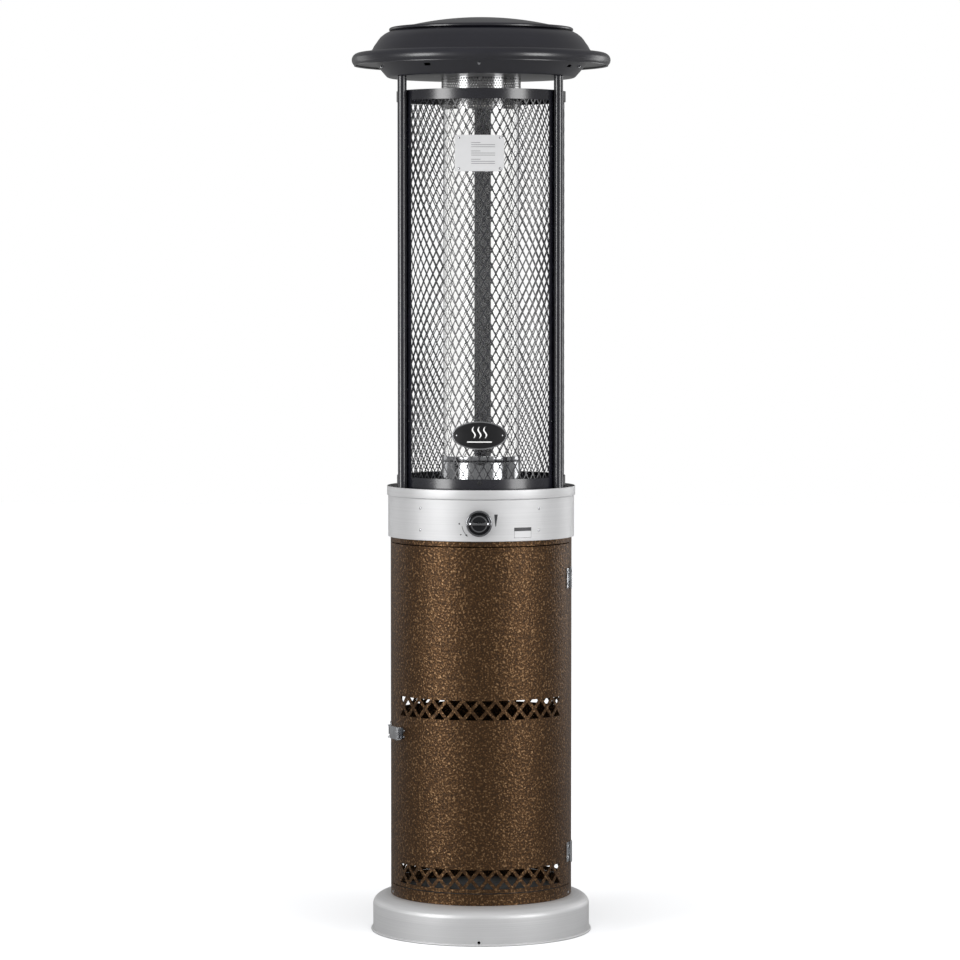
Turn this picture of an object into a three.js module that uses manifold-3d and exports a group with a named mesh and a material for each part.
// Outdoor gas heater: a round base, a cabinet for the gas bottle with a hinged door, a control head,
// a glass flame tube inside a mesh guard, and a dished hood. Millimetres, +Z up. The origin is the
// centre of the underside of the base, and the door and the knob face -Y. An angle on the heater is
// counted in degrees from the front, positive towards +X.
import * as THREE from "three";
import { mergeVertices } from "three/addons/utils/BufferGeometryUtils.js";
import Module from "manifold-3d";

const wasm = await Module();
wasm.setup();

// ---------------------------------------------------------------- driving dimensions

// Fits that every piece shares
const touch = 0.3; // gap between two pieces that rest on each other
const facets = 36; // flats on a full turn of the large round pieces
const innerFacets = 24; // flats on the burner, the flame tube and what stands around them
const smallFacets = 12; // flats on pins, screws and other small round pieces
const fineStep = 2.5; // degrees from flat to flat on the small plates that lie on the cabinet

// Base
const baseHeight = 73;
const baseLedge = 5.5; // flat top of the base that shows round the cabinet
const baseFoot = 4; // how far the rolled foot stands out from the wall
const baseFootHeight = 3;
const baseSheet = 1.5;
const baseShoulderDrop = 21; // from the top of the base down to where the wall turns straight
const baseShoulderRun = 30; // how far in the shoulder reaches
const baseHole = 6; // diameter of the fixing hole at the front of the base

// Cabinet
const cabinetRadius = 179;
const cabinetHeight = 709.7;
const cabinetSheet = 1.5;
const bottomRailHeight = 22.7;
const topRailHeight = 10;
const railFlange = 16; // inward flange of the bottom rail, which carries the floor
const floorSheet = 2;
const seamAngle = 76.5; // each side of the front, where the door meets the back shell
const seamGap = 0.8;
const doorPlay = 1.8; // gap above and below the door
const doorReturn = 12; // depth of the flange along each upright edge of the door
const jambDepth = 18; // depth of the upright edge of the back shell, behind the door
const jambWidth = 10;

// Vent rows of crossed strips in the door and the back shell
const ventPitch = 32.5; // from one crossing to the next, along the skin
const ventHeight = 38;
const ventStrip = 6.5; // width of a strip
const lowerVentMiddle = 51; // above the underside of the cabinet
const upperVentMiddle = 381;
const ventMargin = 13.8; // degrees kept clear between a row and the seam

// Hinges of the door
const hingeHeight = 39;
const hingeLeaf = 16; // width of a leaf
const hingeSheet = 1.5;
const knuckleRadius = 3.2;
const hingePinRadius = 1.5;
const lowerHingeMiddle = 88; // above the underside of the cabinet
const upperHingeDrop = 79.7; // below the top of the cabinet

// Toggle latch of the door, a straight lever with a wire bail
const latchSetBack = 10.9; // from the seam to the lever's pivot, along the skin
const latchMiddle = 327; // above the underside of the cabinet
const latchBasePlate = 1.4;
const leverLength = 50; // from its pivot to its free end
const leverHeight = 25;
const leverSheet = 1.4;
const leverPivotStandOff = 8; // from the door skin to the pivot
const leverReach = 3.2; // from the pivot out to the inside of the lever's face
const bailOffset = 5; // from the lever's pivot to the bail's pivot
const bailWire = 2.4;
const bailHalfWidth = 7.2;
const keeperHeight = 31;
const bailReach = 23.4; // from the lever's pivot to the bail's hook bar, along the skin
const hookStandOff = 5; // from the skin to the middle of the hook bar

// Control head
const headHeight = 99.7;
const bandStandOut = 4.8; // how far the control band stands out from the cabinet
const bandFlange = 12; // inward flange of the band, which rests on the cabinet
const bandSheet = 1.2;
const lipStandOut = 2.2; // how far the lip stands out from the band
const lipSheet = 1;
const lipHeight = 18.5;
const deckDrop = 12; // from the top of the lip down to the deck
const deckSheet = 1.5;
const controlPlateAngle = 40.5; // each side of the front
const controlPlateSheet = 1;
const controlPlateMargin = 1.1; // below and above the plate
const knobDrop = 4.9; // centre of the knob below the middle of the band
const windowHalf = 26; // half the width of the opening behind the control plate

// Knob, spindle and gas valve
const knobRadius = 25.5;
const knobDepth = 24;
const knobTravel = 4;
const knobStandOff = 5.5; // from the control plate to the back of the knob
const spindleRadius = 4;
const sleeveRadius = 7.5;
const valveWidth = 34;
const valveDepth = 44;
const valveTall = 40;
const valveSetBack = 25; // from the control plate to the front of the valve
const gasTubeRadius = 4;
const pilotTubeRadius = 2.2;
const thermocoupleRadius = 1.6;
const electrodeRadius = 3.5;
const bracketSheet = 1.5;
const bracketPlay = 0.8; // round what stands up through the pilot bracket

// Burner and flame tube
const glassRadius = 74.5;
const glassWall = 3.5;
const glassLap = 7.1; // how far the glass reaches up into the exhaust screen
const cupHeight = 70.7;
const cupSheet = 1.2;
const cupClearance = 2.3; // between the glass and the inside of the cup
const mixerRadius = 16;
const burnerHeight = 64;
const burnerFlange = 3; // how far the burner's foot stands out
const burnerGap = 12; // from the burner to the middle of the pilot's ring
const pilotGap = 13; // from the middle of the pilot's ring to the inside of the glass
const pilotSlotWidth = 13;
const pilotSlotAngle = 40; // each side of the front
const sealHeight = 4;
const screenDrop = 62.7; // how far the exhaust screen hangs below the posts' tops
const screenSheet = 0.8;
const screenFlange = 9; // width of the flange that hangs on the hood's pan
const screenFlangeSheet = 1;

// Guard and posts
const postRadius = 9;
const postWall = 1.5;
const postLength = 813.4;
const guardDrop = 26.7; // from the hood pan down to the top of the guard
const guardSheet = 1.2;
const guardBottomBand = 31.7;
const guardTopBand = 20;
const guardStrip = 17;
const guardMeshThickness = 2;
const guardMeshOverlap = 5; // how far the mesh runs behind its frame
const guardMeshGap = 1; // between the mesh and the frame in front of it
const postAngles = { right: 60, rear: 180, left: -60 };

// Plates on the front of the guard
const notePlateWidth = 96;
const notePlateHeight = 70;
const notePlateDrop = 125; // from the top of the guard down to the middle of the plate
const badgeWidth = 107;
const badgeHeight = 55;
const badgeMiddle = 116.7;
const plateSheet = 1.2;

// Hood
const hoodHeight = 118;
const brimReach = 47.5; // how far the brim stands out from the pan's cone
const hoodSheet = 1.2;
const panLedge = 4.3; // how far the pan's flat reaches past the middle of the posts
const panConeReach = 27;
const panDepth = 26;
const rimLow = 23; // underside of the rolled rim above the pan
const rimTop = 48; // top of the rolled rim above the pan
const rimRound = 14; // half the width of the rolled rim
const rimInset = 8; // how far in from the widest point the rolled rim turns under
const shoulderInset = 35.5; // from the widest point in to where the rim's top meets the flare
const ledgeInset = 71.5;
const ledgeHeight = 88;
const crownInset = 2; // how far the crown stays inside the ledge
const crownEdge = 91.5; // underside of the crown above the pan
const crownTurn = 7; // how far the crown's edge turns in underneath
const crownLap = 13; // how far the crown reaches past the opening under it
const hoodScrewCount = 5;
const hoodScrewHead = 3;
const hoodSlotWidth = 13;
const hoodSlotHeight = 5;
const hoodSlotCount = 4;

// ---------------------------------------------------------------- finishes

const finishes = {
  stainless: { color: 0xc9cac8, metalness: 1, roughness: 0.34 },
  chrome: { color: 0xdedfe2, metalness: 1, roughness: 0.12 },
  bronzePaint: { color: 0x5c4026, metalness: 0.35, roughness: 0.42 },
  charcoalPaint: { color: 0x2c2d32, metalness: 0.2, roughness: 0.45 },
  galvanised: { color: 0x8f959b, metalness: 0.8, roughness: 0.5 },
  brass: { color: 0xb8954f, metalness: 1, roughness: 0.3 },
  darkPlastic: { color: 0x1c1c1e, metalness: 0, roughness: 0.5 },
  blackEnamel: { color: 0x111113, metalness: 0, roughness: 0.25 },
  ceramic: { color: 0xe8e2d6, metalness: 0, roughness: 0.7 },
  glass: { color: 0xe8eef0, metalness: 0, roughness: 0.05, transparent: true, opacity: 0.25 },
};

// ---------------------------------------------------------------- shapes

const radians = THREE.MathUtils.degToRad;
const degrees = THREE.MathUtils.radToDeg;

// A closed geometry as a solid that can be cut and joined.
function toSolid(geometry) {
  const loose = geometry.index ? geometry.toNonIndexed() : geometry;
  const bare = new THREE.BufferGeometry();
  bare.setAttribute("position", loose.getAttribute("position"));
  const merged = mergeVertices(bare, 1e-3);
  const mesh = new wasm.Mesh({
    numProp: 3,
    vertProperties: merged.getAttribute("position").array,
    triVerts: new Uint32Array(merged.index.array),
  });
  return new wasm.Manifold(mesh);
}

function toGeometry(solid) {
  const mesh = solid.getMesh();
  const geometry = new THREE.BufferGeometry();
  geometry.setAttribute("position", new THREE.BufferAttribute(mesh.vertProperties, 3));
  geometry.setIndex(new THREE.BufferAttribute(mesh.triVerts, 1));
  geometry.computeVertexNormals();
  return geometry;
}

function join(...geometries) {
  const solids = geometries.map(toSolid);
  return toGeometry(solids.reduce((whole, piece) => whole.add(piece)));
}

function cut(geometry, ...tools) {
  const solids = tools.map(toSolid);
  return toGeometry(solids.reduce((left, tool) => left.subtract(tool), toSolid(geometry)));
}

function common(geometry, other) {
  return toGeometry(toSolid(geometry).intersect(toSolid(other)));
}

// The point of a plan view at an angle from the front.
function onCircle(radius, angle) {
  return new THREE.Vector2(radius * Math.sin(radians(angle)), -radius * Math.cos(radians(angle)));
}

// The angles of an arc's corners: its two ends and every facet line between them.
function arcAngles(from, to, step) {
  const first = Math.floor(from / step + 1e-6) + 1;
  const angles = [from];
  for (let line = first; line * step < to - 1e-6; line += 1) {
    angles.push(line * step);
  }
  angles.push(to);
  return angles;
}

// An upright curved wall between two radii, two angles and two heights.
function wall(inner, outer, from, to, bottom, top, step = 360 / facets) {
  const angles = arcAngles(from, to, step);
  const outside = angles.map((angle) => onCircle(outer, angle));
  const inside = angles.map((angle) => onCircle(inner, angle)).reverse();
  const outline = new THREE.Shape([...outside, ...inside]);
  const geometry = new THREE.ExtrudeGeometry(outline, { depth: top - bottom, bevelEnabled: false });
  return geometry.translate(0, 0, bottom);
}

// A round piece from its profile, a list of [radius, height] that closes on itself or on the axis.
function turned(profile, sides = facets) {
  const points = profile.map(([radius, height]) => new THREE.Vector2(radius, height));
  if (THREE.ShapeUtils.area(points) < 0) points.reverse();
  const onAxis = points[0].x === 0 && points.at(-1).x === 0;
  if (!onAxis) points.push(points[0].clone());
  return new THREE.LatheGeometry(points, sides).rotateX(Math.PI / 2);
}

function ring(inner, outer, bottom, top, sides = facets) {
  return turned([[inner, bottom], [outer, bottom], [outer, top], [inner, top]], sides);
}

function disc(radius, bottom, top, sides = facets) {
  return turned([[0, bottom], [radius, bottom], [radius, top], [0, top]], sides);
}

// The profile of a thin sheet: one face along the path, and the other face a thickness to its left.
function sheet(path, thickness) {
  const face = path.map(([radius, height]) => new THREE.Vector2(radius, height));
  const leftOf = (a, b) => new THREE.Vector2(a.y - b.y, b.x - a.x).normalize();
  const back = face.map((point, i) => {
    const before = leftOf(face[Math.max(i - 1, 0)], face[Math.max(i, 1)]);
    const last = face.length - 1;
    const after = leftOf(face[Math.min(i, last - 1)], face[Math.min(i + 1, last)]);
    const mitre = before.clone().add(after).normalize();
    const moved = point.clone().addScaledVector(mitre, thickness / mitre.dot(before));
    return point.x === 0 ? [0, moved.y] : [moved.x, moved.y];
  });
  return [...path, ...back.reverse()];
}

// Points of an arc of a profile or outline, angles in degrees counted from +X towards +Y.
function arcPoints(centreX, centreY, radiusX, radiusY, from, to, steps) {
  return Array.from({ length: steps + 1 }, (_, i) => {
    const angle = radians(from + ((to - from) * i) / steps);
    return [centreX + radiusX * Math.cos(angle), centreY + radiusY * Math.sin(angle)];
  });
}

// A prism that stands out from the axis at an angle. Its outline is in [sideways, height].
function radialPrism(outline, inner, outer, angle) {
  const shape = new THREE.Shape(outline.map(([x, y]) => new THREE.Vector2(x, y)));
  const geometry = new THREE.ExtrudeGeometry(shape, { depth: outer - inner, bevelEnabled: false });
  return geometry.rotateX(Math.PI / 2).translate(0, -inner, 0).rotateZ(radians(angle));
}

function radialRod(radius, height, inner, outer, angle = 0, sides = smallFacets) {
  const circle = arcPoints(0, height, radius, radius, 0, 360, sides).slice(0, -1);
  return radialPrism(circle, inner, outer, angle);
}

function rectangle(width, height, middle) {
  const x = width / 2;
  const y = height / 2;
  return [[-x, middle - y], [x, middle - y], [x, middle + y], [-x, middle + y]];
}

function upright(radius, bottom, top, sides = smallFacets) {
  const height = top - bottom;
  const cylinder = new THREE.CylinderGeometry(radius, radius, height, sides);
  return cylinder.rotateX(Math.PI / 2).translate(0, 0, (bottom + top) / 2);
}

// A box between two corners.
function block([x0, y0, z0], [x1, y1, z1]) {
  const box = new THREE.BoxGeometry(x1 - x0, y1 - y0, z1 - z0);
  return box.translate((x0 + x1) / 2, (y0 + y1) / 2, (z0 + z1) / 2);
}

// A round bar along a smooth route.
function bar(route, radius, steps, sides = 8) {
  const curve = new THREE.CatmullRomCurve3(route.map((point) => new THREE.Vector3(...point)));
  const circle = arcPoints(0, 0, radius, radius, 0, 360, sides).slice(0, -1);
  const section = new THREE.Shape(circle.map(([x, y]) => new THREE.Vector2(x, y)));
  return new THREE.ExtrudeGeometry(section, { steps, extrudePath: curve, bevelEnabled: false });
}

function place(parent, name, geometry, finish) {
  const mesh = new THREE.Mesh(geometry, new THREE.MeshStandardMaterial(finishes[finish]));
  mesh.name = name;
  parent.add(mesh);
  return mesh;
}

function groupAt(parent, height, angle = 0) {
  const group = new THREE.Group();
  group.position.z = height;
  group.rotation.z = radians(angle);
  parent.add(group);
  return group;
}

// ---------------------------------------------------------------- places that pieces share

const baseRadius = cabinetRadius + baseLedge + baseShoulderRun + baseFoot;
const cabinetBottom = baseHeight + touch;
const headBottom = cabinetBottom + cabinetHeight + touch;
const deckTop = headBottom + headHeight - deckDrop;
const towerBottom = deckTop + touch;
const hoodBottom = towerBottom + postLength + touch;

const cabinetInside = cabinetRadius - cabinetSheet;
const bandRadius = cabinetRadius + bandStandOut;
const lipRadius = bandRadius + lipStandOut;
const postRing = lipRadius - lipSheet - touch - postRadius;
const guardRadius = postRing - postRadius - touch;
const meshRadius = guardRadius - guardSheet - guardMeshGap; // outside of the guard's mesh
const guardHeight = postLength - guardDrop;
const cupRadius = glassRadius + cupClearance + cupSheet;
const pilotRing = glassRadius - glassWall - pilotGap;
const burnerRadius = pilotRing - burnerGap;
const lipBottom = headHeight - lipHeight;
const knobHeight = lipBottom / 2 - knobDrop;
const deckHeight = headHeight - deckDrop; // top of the deck above the underside of the head

const heater = new THREE.Group();

// ---------------------------------------------------------------- base

function addBase() {
  const group = groupAt(heater, 0);
  const wallRadius = baseRadius - baseFoot;
  const shoulder = baseHeight - baseShoulderDrop;
  const shoulderCentre = wallRadius - baseShoulderRun;
  const outside = [
    [baseRadius, 0],
    [baseRadius, baseFootHeight],
    [wallRadius, baseFootHeight + 1],
    ...arcPoints(shoulderCentre, shoulder, baseShoulderRun, baseShoulderDrop, 0, 90, 3),
    [baseRadius / 3, baseHeight],
  ];
  const inside = [
    [baseRadius / 3, baseHeight - baseSheet],
    ...arcPoints(
      shoulderCentre, shoulder,
      baseShoulderRun - baseSheet, baseShoulderDrop - baseSheet, 90, 0, 3,
    ),
    [wallRadius - baseSheet, 0],
  ];
  const hole = radialRod(baseHole / 2, baseFootHeight + baseHole / 2 + 1.5, shoulderCentre, baseRadius + 1);
  place(group, "base_cover", cut(turned([...outside, ...inside]), hole), "stainless");
  place(group, "base_plate", disc(wallRadius - baseSheet - touch, 0, baseSheet), "galvanised");
}

// ---------------------------------------------------------------- cabinet

const ventAngle = degrees(ventPitch / cabinetRadius);
const seamHalf = degrees(seamGap / 2 / cabinetRadius);
const sheetAngle = degrees(cabinetSheet / cabinetRadius);

// The openings of a row of crossed strips: a lozenge between two crossings, and a triangle above and
// below each crossing. The row fills an arc of halfArc degrees each side of its centre.
function ventRow(middle, halfArc, centreAngle) {
  const count = 2 * Math.floor((halfArc - ventMargin) / ventAngle);
  const pitch = cabinetRadius * radians(ventAngle);
  const half = ventHeight / 2;
  const lean = Math.hypot(half, pitch / 2);
  const across = (ventStrip / 2) * (lean / half); // half a strip, measured level
  const along = (ventStrip / 2) * (lean / (pitch / 2)); // half a strip, measured upright
  const lozenge = [
    [0, middle - half + along],
    [pitch / 2 - across, middle],
    [0, middle + half - along],
    [across - pitch / 2, middle],
  ];
  const triangle = (side) => [
    [across - pitch / 2, middle + side * half],
    [0, middle + side * along],
    [pitch / 2 - across, middle + side * half],
  ];
  const openings = [];
  for (let i = 0; i < count; i += 1) {
    const crossing = centreAngle + (i - (count - 1) / 2) * ventAngle;
    const reach = [cabinetInside - 5, cabinetRadius + 5];
    openings.push(radialPrism(triangle(1), ...reach, crossing));
    openings.push(radialPrism(triangle(-1), ...reach, crossing));
    if (i < count - 1) openings.push(radialPrism(lozenge, ...reach, crossing + ventAngle / 2));
  }
  return openings;
}

function addCabinet() {
  const group = groupAt(heater, cabinetBottom);
  const railRing = ring(cabinetInside, cabinetRadius, 0, bottomRailHeight);
  const flange = ring(cabinetRadius - railFlange, cabinetInside + 1, 0, floorSheet);
  place(group, "bottom_rail", join(railRing, flange), "bronzePaint");
  const floorHeight = floorSheet + touch;
  const floor = disc(cabinetInside - touch, floorHeight, floorHeight + floorSheet);
  place(group, "cabinet_floor", floor, "galvanised");

  const shellBottom = bottomRailHeight + touch;
  const shellFrom = seamAngle + seamHalf;
  const shellTo = 360 - shellFrom;
  const jambInner = cabinetRadius - jambDepth;
  const jambTurn = degrees(jambWidth / cabinetRadius);
  const skin = wall(cabinetInside, cabinetRadius, shellFrom, shellTo, shellBottom, cabinetHeight);
  const jambs = [[shellFrom, 1], [shellTo, -1]].flatMap(([edge, side]) => {
    const web = [edge, edge + side * sheetAngle].sort((a, b) => a - b);
    const stop = [edge - side * jambTurn, edge + side * sheetAngle].sort((a, b) => a - b);
    return [
      wall(jambInner, cabinetInside + 0.5, ...web, shellBottom, cabinetHeight),
      wall(jambInner, jambInner + cabinetSheet, ...stop, shellBottom, cabinetHeight),
    ];
  });
  const shellVents = [lowerVentMiddle, upperVentMiddle].flatMap((middle) =>
    ventRow(middle, 180 - seamAngle, 180),
  );
  place(group, "back_shell", cut(join(skin, ...jambs), ...shellVents), "bronzePaint");

  const railEnd = seamAngle - seamHalf;
  const railBottom = cabinetHeight - topRailHeight;
  const topRail = wall(cabinetInside, cabinetRadius + 1, -railEnd, railEnd, railBottom, cabinetHeight);
  const topFlange = wall(
    jambInner + cabinetSheet + touch, cabinetInside + 0.5,
    -railEnd, railEnd, cabinetHeight - cabinetSheet, cabinetHeight,
  );
  place(group, "top_rail", join(topRail, topFlange), "bronzePaint");

  const doorEnd = seamAngle - seamHalf;
  const doorBottom = bottomRailHeight + doorPlay;
  const doorTop = railBottom - doorPlay;
  const doorSkin = wall(cabinetInside, cabinetRadius, -doorEnd, doorEnd, doorBottom, doorTop);
  const returnInner = cabinetRadius - doorReturn;
  const edges = [-1, 1].map((side) => {
    const turn = [side * (doorEnd - sheetAngle), side * doorEnd].sort((a, b) => a - b);
    return wall(returnInner, cabinetInside + 0.5, ...turn, doorBottom, doorTop);
  });
  const doorVents = [lowerVentMiddle, upperVentMiddle].flatMap((middle) =>
    ventRow(middle, seamAngle, 0),
  );
  place(group, "door", cut(join(doorSkin, ...edges), ...doorVents), "bronzePaint");
  return group;
}

// ---------------------------------------------------------------- door hinges

const hingeAxis = cabinetRadius + touch + knuckleRadius + 0.2; // distance of the pin from the heater's axis

// One leaf, with its knuckles, in a frame whose -Y points straight out through the pin.
// side is -1 for the leaf on the door and 1 for the leaf on the back shell.
function hingePiece(side, knuckles) {
  const inner = cabinetRadius + touch;
  const outer = inner + hingeSheet;
  const clear = knuckleRadius + 2 * touch;
  const ends = [clear, clear + hingeLeaf].map((x) => side * degrees(x / inner));
  const plate = wall(inner, outer, ...ends.sort((a, b) => a - b), 0, hingeHeight, fineStep);
  const rounds = knuckles.flatMap(([bottom, top]) => {
    const webX = [0, side * (clear + 1)].sort((a, b) => a - b);
    return [
      upright(knuckleRadius, bottom, top).translate(0, -hingeAxis, 0),
      block([webX[0], -outer, bottom], [webX[1], -inner - 0.2, top]),
    ];
  });
  const bore = upright(hingePinRadius + touch, -1, hingeHeight + 1).translate(0, -hingeAxis, 0);
  return cut(join(plate, ...rounds), bore);
}

function addHinge(cabinet, name, middle) {
  const group = groupAt(cabinet, middle - hingeHeight / 2, seamAngle);
  const third = hingeHeight / 3;
  const play = 0.2;
  const outerKnuckles = [[0, third - play], [2 * third + play, hingeHeight]];
  const middleKnuckle = [[third + play, 2 * third - play]];
  place(group, `${name}_hinge_frame_leaf`, hingePiece(1, outerKnuckles), "chrome");
  place(group, `${name}_hinge_door_leaf`, hingePiece(-1, middleKnuckle), "chrome");
  const head = knuckleRadius - 0.6;
  const pin = turned(
    [
      [0, -touch - 2], [head, -touch - 2], [head, -touch], [hingePinRadius, -touch],
      [hingePinRadius, hingeHeight + touch], [head, hingeHeight + touch],
      [head, hingeHeight + touch + 2], [0, hingeHeight + touch + 2],
    ],
    smallFacets,
  );
  place(group, `${name}_hinge_pin`, pin.translate(0, -hingeAxis, 0), "chrome");
}

// ---------------------------------------------------------------- door latch

// The latch is drawn in a frame whose -Y points straight out through its middle: X runs along the
// door, towards the hinges, and the lever lies along X.
const latchAngle = degrees((latchSetBack + leverLength / 2) / cabinetRadius) - seamAngle;
const keeperAngle = degrees((leverLength / 2 + bailReach) / cabinetRadius);
const pivotX = -leverLength / 2;
const pivotY = -Math.sqrt((cabinetRadius + leverPivotStandOff) ** 2 - pivotX ** 2);
const bailRadius = bailWire / 2;
const lugInner = bailHalfWidth + bailRadius + 0.6; // height of a lug's inner face above the middle
const lugOuter = lugInner + 1.6;
const leverWallInner = leverHeight / 2 - leverSheet;

function latchBase() {
  const inner = cabinetRadius + touch;
  const outer = inner + latchBasePlate;
  const from = degrees((pivotX - 5) / inner);
  const to = degrees((leverLength / 2 + 2) / inner);
  const half = leverWallInner - touch;
  const lugFoot = -Math.sqrt((inner + latchBasePlate / 2) ** 2 - pivotX ** 2);
  const lugs = [-1, 1].flatMap((side) => {
    const levels = [side * lugInner, side * lugOuter].sort((a, b) => a - b);
    return [
      block([pivotX - 2.4, pivotY, levels[0]], [pivotX + 2.4, lugFoot, levels[1]]),
      upright(2.8, ...levels).translate(pivotX, pivotY, 0),
    ];
  });
  const bore = upright(1.4 + touch, -leverHeight, leverHeight).translate(pivotX, pivotY, 0);
  return cut(join(wall(inner, outer, from, to, -half, half, fineStep), ...lugs), bore);
}

function latchLever() {
  const faceInner = pivotY - leverReach;
  const faceOuter = faceInner - leverSheet;
  const half = leverHeight / 2;
  const faceStart = pivotX + bailOffset + 4;
  const freeEnd = leverLength / 2;
  const sides = [-1, 1].flatMap((side) => {
    const levels = [side * leverWallInner, side * half].sort((a, b) => a - b);
    const trunnion = [side * (lugInner + 0.1), side * (leverWallInner + 0.5)].sort((a, b) => a - b);
    return [
      block([pivotX, faceOuter, levels[0]], [freeEnd, pivotY + leverReach, levels[1]]),
      upright(-faceOuter + pivotY, ...levels).translate(pivotX, pivotY, 0),
      upright(1.4, ...trunnion).translate(pivotX, pivotY, 0),
    ];
  });
  const face = block([faceStart, faceOuter, -half], [freeEnd, faceInner, half]);
  const thumbTab = block([freeEnd - leverSheet, faceOuter - 3, -half], [freeEnd, faceInner, half]);
  const bore = upright(bailRadius + touch, -half - 1, half + 1);
  return cut(join(face, thumbTab, ...sides), bore.translate(pivotX + bailOffset, pivotY, 0));
}

function latchBail() {
  const hook = onCircle(cabinetRadius + hookStandOff, -keeperAngle);
  const start = new THREE.Vector2(pivotX + bailOffset, pivotY);
  const legs = [-bailHalfWidth, bailHalfWidth].map((z) =>
    bar([[start.x, start.y, z], [hook.x, hook.y, z]], bailRadius, 1),
  );
  const reach = leverHeight / 2 + touch;
  const pivotBar = upright(bailRadius, -reach, reach, 8).translate(start.x, start.y, 0);
  const end = bailHalfWidth + bailRadius;
  const hookBar = upright(bailRadius, -end, end, 8).translate(hook.x, hook.y, 0);
  return join(pivotBar, hookBar, ...legs);
}

function latchKeeper() {
  const inner = cabinetRadius + touch;
  const outer = inner + latchBasePlate;
  const half = keeperHeight / 2;
  const near = degrees(seamGap / cabinetRadius) + seamAngle + latchAngle;
  const plate = wall(inner, outer, -keeperAngle - 4, -near, -half, half, fineStep);
  const hookTop = cabinetRadius + hookStandOff - bailRadius - touch;
  const hookHalf = bailHalfWidth - bailRadius - 1;
  const hook = wall(outer - 0.5, hookTop, 1.3 - keeperAngle, 2 - keeperAngle, -hookHalf, hookHalf);
  return join(plate, hook);
}

function addLatch(cabinet) {
  const group = groupAt(cabinet, latchMiddle, latchAngle);
  place(group, "latch_base", latchBase(), "chrome");
  place(group, "latch_lever", latchLever(), "chrome");
  place(group, "latch_bail", latchBail(), "chrome");
  place(group, "latch_keeper", latchKeeper(), "chrome");
}

// ---------------------------------------------------------------- control head

const plateFace = bandRadius + touch + controlPlateSheet; // front of the control plate, from the axis

// The slot that the pilot, the thermocouple and the electrode come up through.
function pilotSlot(bottom, top) {
  const half = pilotSlotWidth / 2;
  return wall(pilotRing - half, pilotRing + half, -pilotSlotAngle, pilotSlotAngle, bottom, top);
}

function addHead() {
  const group = groupAt(heater, headBottom);
  const windowAngle = degrees(windowHalf / bandRadius) * 3;
  const window = wall(
    bandRadius - 10, bandRadius + 5, -windowAngle, windowAngle,
    knobHeight - windowHalf, knobHeight + windowHalf,
  );
  const band = ring(bandRadius - bandSheet, bandRadius, 0, lipBottom - touch);
  const flange = ring(cabinetRadius - bandFlange, bandRadius - bandSheet / 2, 0, bandSheet);
  place(group, "control_band", cut(join(band, flange), window), "stainless");

  const step = ring(bandRadius - bandSheet - 4, lipRadius, lipBottom, lipBottom + lipSheet);
  const rim = ring(lipRadius - lipSheet, lipRadius, lipBottom, headHeight);
  place(group, "head_lip", join(step, rim), "stainless");

  const deckDisc = ring(mixerRadius + 4, lipRadius - lipSheet - touch, deckHeight - deckSheet, deckHeight);
  const skirtOutside = bandRadius - bandSheet - 4 - touch;
  const skirt = ring(skirtOutside - deckSheet, skirtOutside, lipBottom - 12, deckHeight - deckSheet / 2);
  const slot = pilotSlot(deckHeight - 2 * deckSheet, deckHeight + 1);
  place(group, "burner_deck", cut(join(deckDisc, skirt), slot), "stainless");

  const plate = wall(
    bandRadius + touch, plateFace, -controlPlateAngle, controlPlateAngle,
    controlPlateMargin, lipBottom - controlPlateMargin,
  );
  const spindleHole = radialRod(spindleRadius + 2, knobHeight, bandRadius - 5, plateFace + 5);
  place(group, "control_plate", cut(plate, spindleHole), "stainless");
  return group;
}

// ---------------------------------------------------------------- knob and gas valve

const valveFront = plateFace - valveSetBack; // distance from the axis

function knobGeometry() {
  const back = plateFace + knobStandOff;
  const body = knobDepth - 5;
  const profile = [
    [0, 0], [knobRadius, 0], [knobRadius, 5], [knobRadius - 3, 8], [knobRadius - 6, 9],
    [knobRadius - 7.5, body - 2], [knobRadius - 10, body], [0, body],
  ];
  const grip = block([5 - knobRadius, -knobDepth, -4], [knobRadius - 5, -7, 4]);
  const bore = upright(spindleRadius + touch, -1, 14).rotateX(Math.PI / 2);
  const shape = join(turned(profile, innerFacets).rotateX(Math.PI / 2), grip);
  return cut(shape, bore).translate(0, -back, knobHeight);
}

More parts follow.
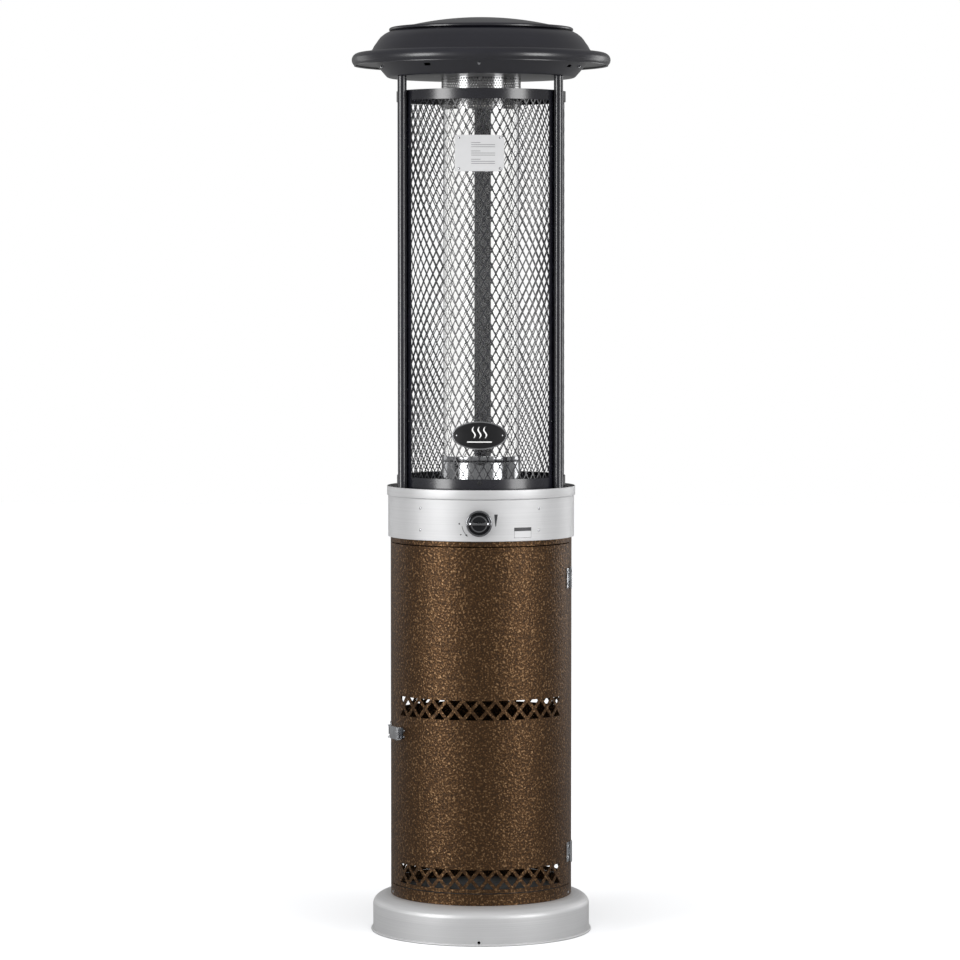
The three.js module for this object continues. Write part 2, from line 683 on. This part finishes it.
function addKnobAndValve(head) {
  place(head, "knob", knobGeometry(), "chrome");
  const spindleTip = plateFace + knobStandOff + 13;
  const spindleEnd = valveFront - knobTravel - 8;
  const spindle = radialRod(spindleRadius, knobHeight, spindleEnd, spindleTip);
  place(head, "knob_spindle", spindle, "galvanised");
  const sleeveBack = valveFront + knobTravel + 1;
  const sleeve = radialRod(sleeveRadius, knobHeight, sleeveBack, sleeveBack + 8);
  const sleeveBore = radialRod(spindleRadius + touch, knobHeight, sleeveBack - 1, sleeveBack + 9);
  place(head, "push_sleeve", cut(sleeve, sleeveBore), "darkPlastic");

  const halfWidth = valveWidth / 2;
  const halfTall = valveTall / 2;
  const nose = radialRod(12, knobHeight, valveFront - 7, valveFront);
  const body = block(
    [-halfWidth, -valveFront + 6, knobHeight - halfTall],
    [halfWidth, -valveFront + 6 + valveDepth, knobHeight + halfTall],
  );
  const bore = radialRod(spindleRadius + touch, knobHeight, spindleEnd - knobTravel - 1, valveFront + 1);
  place(head, "gas_valve", cut(join(body, nose), bore), "brass");

  const wingX = 31;
  const bracketFront = -valveFront + 4;
  const plate = block([-wingX, bracketFront, knobHeight - 18], [wingX, bracketFront + 1.5, knobHeight + 18]);
  const wings = [-1, 1].map((side) => {
    const x = [side * wingX, side * (wingX - 1.5)].sort((a, b) => a - b);
    const bandInside = Math.sqrt((bandRadius - bandSheet) ** 2 - wingX ** 2) - 1.5;
    return block([x[0], -bandInside, knobHeight - 18], [x[1], bracketFront + 1, knobHeight + 18]);
  });
  const noseHole = radialRod(12 + touch, knobHeight, valveFront - 10, valveFront);
  place(head, "valve_bracket", cut(join(plate, ...wings), noseHole), "galvanised");
}

function addGasTrain(head) {
  const valveBack = -valveFront + 6 + valveDepth;
  const valveBottom = knobHeight - valveTall / 2;
  const inletY = valveBack - 16;
  const inlet = turned(
    [
      [0, -38], [4.5, -38], [5.5, -34], [4.5, -31], [5.5, -27], [4.5, -24], [4.5, -20], [9, -20],
      [9, -8], [6, -8], [6, 0], [0, 0],
    ],
    12,
  );
  const inletBore = upright(2.5, -39, -4, 8);
  const inletFitting = cut(inlet, inletBore).translate(0, inletY, valveBottom - touch);
  place(head, "inlet_fitting", inletFitting, "brass");

  const holderTop = deckHeight - 30;
  const holder = turned([[0, 0], [8, 0], [8, 10], [5, 12], [5, 18], [0, 18]], 6);
  place(head, "orifice_holder", holder.translate(0, 0, holderTop - 18), "brass");
  const tubeY = valveBack + touch;
  const tubeZ = knobHeight - 8;
  const holderBottom = holderTop - 18 - touch;
  const supply = bar(
    [
      [0, tubeY, tubeZ], [0, tubeY * 0.75, tubeZ], [0, tubeY * 0.3, tubeZ - 3],
      [0, -9, tubeZ], [0, 0, holderBottom - 6], [0, 0, holderBottom],
    ],
    gasTubeRadius, 10,
  );
  place(head, "burner_supply_tube", supply, "brass");

  const pilotTip = deckHeight + 52;
  const [pilot, couple, spark] = [0, 22, -22].map((angle) => onCircle(pilotRing, angle));
  const pilotRoute = [
    [-10, tubeY, knobHeight + 10], [-10, tubeY * 0.85, knobHeight + 10],
    [pilot.x, pilot.y - 8, deckHeight - 24], [pilot.x, pilot.y, deckHeight - 10],
    [pilot.x, pilot.y, deckHeight], [pilot.x, pilot.y, pilotTip],
  ];
  place(head, "pilot_tube", bar(pilotRoute, pilotTubeRadius, 12, 6), "brass");
  const hood = turned([[0, 0], [4.5, 0], [4.5, 12], [3, 16], [0, 16]], 8);
  place(head, "pilot_burner", hood.translate(pilot.x, pilot.y, pilotTip + touch), "galvanised");

  const coupleRoute = [
    [10, tubeY, knobHeight + 10], [14, tubeY * 0.8, knobHeight + 10],
    [couple.x, couple.y - 6, deckHeight - 26], [couple.x, couple.y, deckHeight - 10],
    [couple.x, couple.y, deckHeight], [couple.x, couple.y, pilotTip + 14],
  ];
  place(head, "thermocouple", bar(coupleRoute, thermocoupleRadius, 12, 6), "galvanised");
  const electrodeProfile = [
    [0, -8], [electrodeRadius, -8], [electrodeRadius, 44], [1.2, 48], [1.2, 66], [0, 66],
  ];
  const electrode = turned(electrodeProfile, 8).translate(spark.x, spark.y, deckHeight);
  place(head, "ignition_electrode", electrode, "ceramic");

  const bracketBottom = deckHeight + cupSheet + 2 * touch;
  const bracketTop = bracketBottom + bracketSheet;
  const bracket = wall(
    burnerRadius + burnerFlange + touch, glassRadius - glassWall - 2,
    -pilotSlotAngle - 4, pilotSlotAngle + 4, bracketBottom, bracketTop,
  );
  const holeFor = (at, radius) =>
    upright(radius + bracketPlay, bracketBottom - 1, bracketTop + 1, 8).translate(at.x, at.y, 0);
  const holes = [
    holeFor(pilot, pilotTubeRadius), holeFor(couple, thermocoupleRadius), holeFor(spark, electrodeRadius),
  ];
  place(head, "pilot_bracket", cut(bracket, ...holes), "galvanised");

  const switchBody = block([-22, -9, -34], [22, 9, -touch]);
  const switchAt = onCircle(bandRadius * 0.62, -100);
  const tiltSwitch = switchBody.translate(switchAt.x, switchAt.y, deckHeight - deckSheet);
  place(head, "tilt_switch", tiltSwitch, "darkPlastic");
}

// ---------------------------------------------------------------- burner and glass tube

function addBurnerAndGlass(tower) {
  const floorTop = cupSheet;
  const cupWall = ring(cupRadius - cupSheet, cupRadius, 0, cupHeight, innerFacets);
  const cupFloor = ring(mixerRadius + 4, cupRadius - cupSheet / 2, 0, cupSheet, innerFacets);
  place(tower, "burner_cup", cut(join(cupWall, cupFloor), pilotSlot(-1, floorTop + 1)), "chrome");

  const flange = floorTop + touch;
  const mixerBottom = flange - 28;
  const headTop = burnerHeight;
  const burner = turned([
    [mixerRadius, mixerBottom], [mixerRadius, flange], [burnerRadius + burnerFlange, flange],
    [burnerRadius + burnerFlange, flange + 2], [burnerRadius, flange + 2], [burnerRadius, headTop - 8],
    [burnerRadius - 12, headTop], [0, headTop + 4],
    [0, headTop + 2], [burnerRadius - 13, headTop - 2], [burnerRadius - 2, headTop - 9],
    [burnerRadius - 2, flange + 2], [mixerRadius - 2, flange + 2], [mixerRadius - 2, mixerBottom],
  ], innerFacets);
  place(tower, "burner_head", burner, "stainless");

  const sealBottom = floorTop + touch;
  const glassBottom = sealBottom + sealHeight + touch;
  const glassTop = postLength - screenDrop + glassLap;
  const sealTop = sealBottom + sealHeight;
  const lowerSeal = ring(glassRadius - glassWall - 1, glassRadius + 1, sealBottom, sealTop, innerFacets);
  place(tower, "lower_glass_seal", lowerSeal, "ceramic");
  const glass = ring(glassRadius - glassWall, glassRadius, glassBottom, glassTop, innerFacets);
  place(tower, "glass_tube", glass, "glass");

  const screenInner = cupRadius - screenSheet;
  const screenSeat = postLength + touch + hoodSheet + touch;
  const screenTop = screenSeat + screenFlangeSheet;
  const screenWall = ring(screenInner, cupRadius, postLength - screenDrop, screenTop, innerFacets);
  const screenRim = ring(screenInner, cupRadius + screenFlange, screenSeat, screenTop, innerFacets);
  place(tower, "exhaust_screen", join(screenWall, screenRim), "stainless");
  const upperSeal = ring(
    glassRadius + touch, screenInner - touch, glassTop - sealHeight - 1, glassTop - 1, innerFacets,
  );
  place(tower, "upper_glass_seal", upperSeal, "ceramic");
}

// ---------------------------------------------------------------- posts and guard

function guardFrame(from, to) {
  const inner = guardRadius - guardSheet;
  const stripAngle = degrees(guardStrip / guardRadius);
  const strips = [[from, from + stripAngle], [to - stripAngle, to]].map((ends) =>
    wall(inner, guardRadius, ...ends, 0, guardHeight),
  );
  const lower = wall(inner, guardRadius, from, to, 0, guardBottomBand);
  const upper = wall(inner, guardRadius, from, to, guardHeight - guardTopBand, guardHeight);
  return join(lower, upper, ...strips);
}

function addGuard(tower) {
  for (const [name, angle] of Object.entries(postAngles)) {
    const post = ring(postRadius - postWall, postRadius, 0, postLength, smallFacets);
    const at = onCircle(postRing, angle);
    place(tower, `post_${name}`, post.translate(at.x, at.y, 0), "charcoalPaint");
  }
  const panelMiddles = { front: 0, right: 120, left: 240 };
  const halfPanel = 60 - degrees(touch / guardRadius);
  const meshHalf = halfPanel - degrees((guardStrip - guardMeshOverlap) / guardRadius);
  for (const [name, middle] of Object.entries(panelMiddles)) {
    const frame = guardFrame(middle - halfPanel, middle + halfPanel);
    place(tower, `guard_frame_${name}`, frame, "charcoalPaint");
    const mesh = wall(
      meshRadius - guardMeshThickness, meshRadius, middle - meshHalf, middle + meshHalf,
      guardBottomBand - guardMeshOverlap, guardHeight - guardTopBand + guardMeshOverlap,
    );
    place(tower, `guard_mesh_${name}`, mesh, "charcoalPaint");
  }
}

function addPlates(tower) {
  const inner = meshRadius + touch;
  const notePlateMiddle = guardHeight - notePlateDrop;
  const corner = 8;
  const x = notePlateWidth / 2;
  const y = notePlateHeight / 2;
  const outline = [
    [-x, -y], [x - corner, -y], [x, corner - y], [x, y - corner], [x - corner, y], [-x, y],
  ].map(([across, up]) => [across, up + notePlateMiddle]);
  const reach = degrees(badgeWidth / inner);
  const noteSheet = wall(inner, inner + plateSheet, -reach, reach,
    notePlateMiddle - notePlateHeight, notePlateMiddle + notePlateHeight);
  const note = common(noteSheet, radialPrism(outline, inner / 2, inner * 1.2, 0));
  place(tower, "note_plate", note, "stainless");

  const oval = arcPoints(0, badgeMiddle, badgeWidth / 2, badgeHeight / 2, 0, 360, 24).slice(0, -1);
  const badgeSheet = wall(inner, inner + plateSheet, -reach, reach,
    badgeMiddle - badgeHeight, badgeMiddle + badgeHeight);
  const badge = common(badgeSheet, radialPrism(oval, inner / 2, inner * 1.2, 0));
  place(tower, "badge", badge, "blackEnamel");
}

// ---------------------------------------------------------------- hood

function addHood() {
  const group = groupAt(heater, hoodBottom);
  const fillet = 9;
  const panFlatRadius = postRing + panLedge;
  const panConeRadius = panFlatRadius + panConeReach;
  const hoodRadius = panConeRadius + brimReach;
  const shoulderRadius = hoodRadius - shoulderInset;
  const ledgeRadius = hoodRadius - ledgeInset;
  const crownRadius = ledgeRadius - crownInset;
  const flangeHeight = panDepth;
  const rimInside = hoodRadius - rimInset;
  const slope = Math.atan2(panDepth - 2, panConeRadius - panFlatRadius - fillet);
  const panOpening = (cupRadius + touch) / Math.cos(Math.PI / facets); // its flats clear the exhaust screen
  const panPath = [
    [panOpening, 0],
    ...arcPoints(panFlatRadius, fillet, fillet, fillet, -90, -90 + degrees(slope), 3),
    [panConeRadius, flangeHeight],
    [rimInside - touch, flangeHeight],
  ];
  const screwPlace = [panConeRadius - 5, flangeHeight - 7]; // radius and height on the cone
  const lean = Math.PI / 2 - slope; // how far the cone's outward normal drops below level
  const lay = (geometry, angle) =>
    geometry
      .rotateX(Math.PI / 2 + lean)
      .translate(0, -screwPlace[0], screwPlace[1])
      .rotateZ(radians(angle));
  const screwAngles = Array.from({ length: hoodScrewCount }, (_, i) => (i * 360) / hoodScrewCount);
  const shank = hoodScrewHead / 2;
  const screwHoles = screwAngles.map((angle) => lay(upright(shank + touch, -8, 8, 8), angle));
  const slots = Array.from({ length: hoodSlotCount }, (_, i) => {
    const opening = rectangle(hoodSlotWidth, hoodSlotHeight, flangeHeight - 8);
    return radialPrism(opening, panFlatRadius, hoodRadius, 60 + (i * 360) / hoodSlotCount);
  });
  place(group, "hood_pan", cut(turned(sheet(panPath, hoodSheet)), ...screwHoles, ...slots), "charcoalPaint");

  const coneFace = 1.4; // stands the head clear of the pan's sheet
  screwAngles.forEach((angle, i) => {
    const screw = turned(
      [
        [0, -6], [shank, -6], [shank, coneFace], [hoodScrewHead, coneFace],
        [hoodScrewHead, coneFace + 2.6], [0, coneFace + 2.6],
      ],
      8,
    );
    place(group, `hood_screw_${i + 1}`, lay(screw, angle), "stainless");
  });

  const rimMiddle = (rimLow + rimTop) / 2 - 1;
  const rimCentre = hoodRadius - rimRound;
  const flareTop = ledgeHeight - 2;
  const flareCentre = shoulderRadius + 3;
  const shellPath = [
    [rimInside, rimLow + 2],
    [rimInside + 3.5, rimLow],
    ...arcPoints(rimCentre, rimMiddle, rimRound, rimTop - rimMiddle, -48, 0, 2).slice(0, -1),
    ...arcPoints(rimCentre, rimMiddle, rimRound, rimTop - rimMiddle, 0, 78, 3),
    [shoulderRadius, rimTop + 1],
    ...arcPoints(flareCentre, flareTop + 1, flareCentre - ledgeRadius, flareTop - rimTop, -108, -176, 3),
    [ledgeRadius, ledgeHeight + 1],
    [crownRadius - crownTurn, ledgeHeight + 1],
    [crownRadius - crownTurn - 1, crownEdge - touch],
    [crownRadius - crownLap, crownEdge - touch],
  ];
  place(group, "hood_shell", turned(sheet(shellPath, hoodSheet)), "charcoalPaint");

  const domeRadius = (crownRadius ** 2 + (hoodHeight - crownEdge) ** 2) / (2 * (hoodHeight - crownEdge));
  const domeHeight = (radius) => hoodHeight - domeRadius + Math.sqrt(domeRadius ** 2 - radius ** 2);
  const domeStops = [0, 0.4, 0.7, 0.9].map((share) => share * crownRadius);
  const crownPath = [
    ...domeStops.map((radius) => [radius, domeHeight(radius)]),
    [crownRadius, crownEdge + 3],
    [crownRadius - 1.2, crownEdge],
    [crownRadius - crownTurn - 2, crownEdge],
  ];
  place(group, "hood_crown", turned(sheet(crownPath, -hoodSheet)), "charcoalPaint");
}

// ---------------------------------------------------------------- assembly

addBase();
const cabinet = addCabinet();
addHinge(cabinet, "lower", lowerHingeMiddle);
addHinge(cabinet, "upper", cabinetHeight - upperHingeDrop);
addLatch(cabinet);
const head = addHead();
addKnobAndValve(head);
addGasTrain(head);
const tower = groupAt(heater, towerBottom);
addBurnerAndGlass(tower);
addGuard(tower);
addPlates(tower);
addHood();

export default heater;
